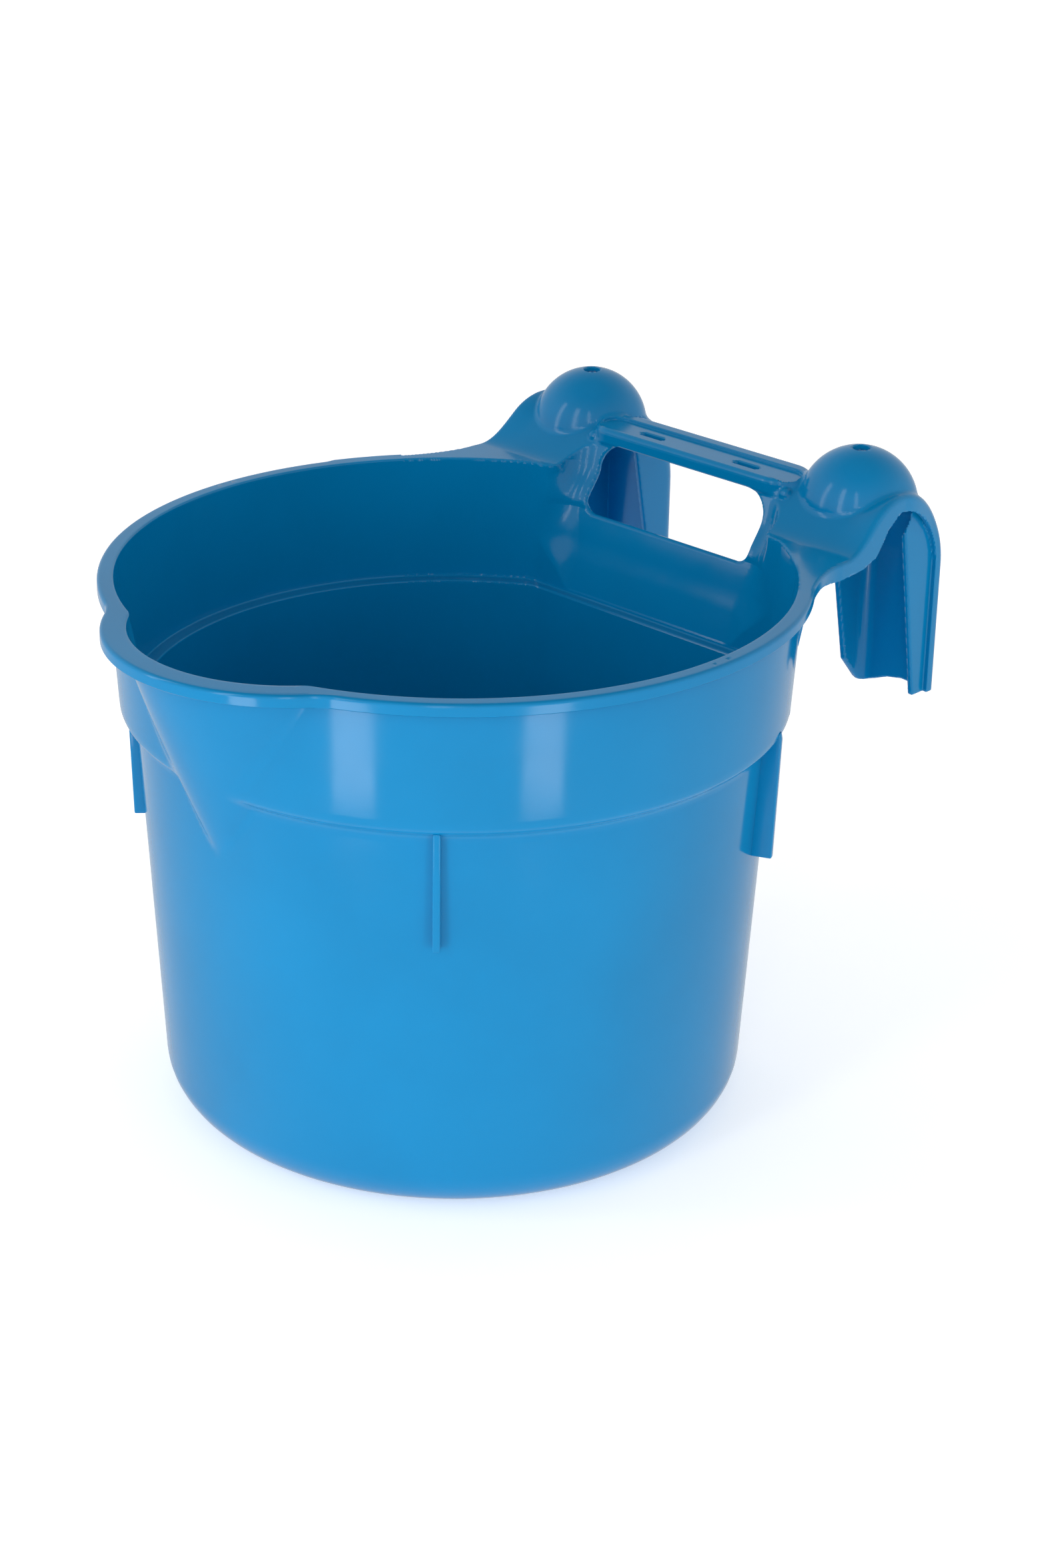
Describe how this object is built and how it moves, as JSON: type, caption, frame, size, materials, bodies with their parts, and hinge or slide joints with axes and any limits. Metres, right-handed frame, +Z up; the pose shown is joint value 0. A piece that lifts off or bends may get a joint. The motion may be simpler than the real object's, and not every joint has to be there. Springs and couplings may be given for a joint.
{
  "type": "feed bucket",
  "caption": "Hang-on feed bucket: round tub with a flat back, pouring spout, stepped rim band, hand hole under a handle bar, and hooks with domed tops that hang over a gate rail.",
  "frame": {"origin": "centre of the tub's round wall, on the underside of the base", "axes": "+Z up, -Y towards the pouring spout, +Y towards the hooks, +X to the right when looking along +Y"},
  "size_m": [0.28, 0.3496, 0.2552],
  "materials": {
    "blue_plastic": "semi-gloss moulded polypropylene, azure blue"
  },
  "bodies": {
    "root": {"back_panel": "blue_plastic", "base_corner": "blue_plastic", "dome_left": "blue_plastic", "dome_right": "blue_plastic", "floor": "blue_plastic", "front_rib_left": "blue_plastic", "front_rib_right": "blue_plastic", "grip_cheek_left": "blue_plastic", "grip_cheek_right": "blue_plastic", "grip_panel": "blue_plastic", "gusset_left": "blue_plastic", "gusset_right": "blue_plastic", "handle_bar": "blue_plastic", "hook_inner_flange_left": "blue_plastic", "hook_inner_flange_right": "blue_plastic", "hook_outer_flange_left": "blue_plastic", "hook_outer_flange_right": "blue_plastic", "hook_shelf_left": "blue_plastic", "hook_shelf_right": "blue_plastic", "hook_strap_left": "blue_plastic", "hook_strap_right": "blue_plastic", "hook_web_left": "blue_plastic", "hook_web_right": "blue_plastic", "lower_back_wall": "blue_plastic", "lower_wall": "blue_plastic", "pouring_channel": "blue_plastic", "rear_rib_left": "blue_plastic", "rear_rib_right": "blue_plastic", "rim_flange_left": "blue_plastic", "rim_flange_right": "blue_plastic", "rim_lip_left": "blue_plastic", "rim_lip_right": "blue_plastic", "shelf_lip_left": "blue_plastic", "shelf_lip_right": "blue_plastic", "shoulder": "blue_plastic", "spout_lip": "blue_plastic", "spout_rim": "blue_plastic", "strap_outer_lip_left": "blue_plastic", "strap_outer_lip_right": "blue_plastic", "upper_band_left": "blue_plastic", "upper_band_right": "blue_plastic"}
  },
  "joints": []
}
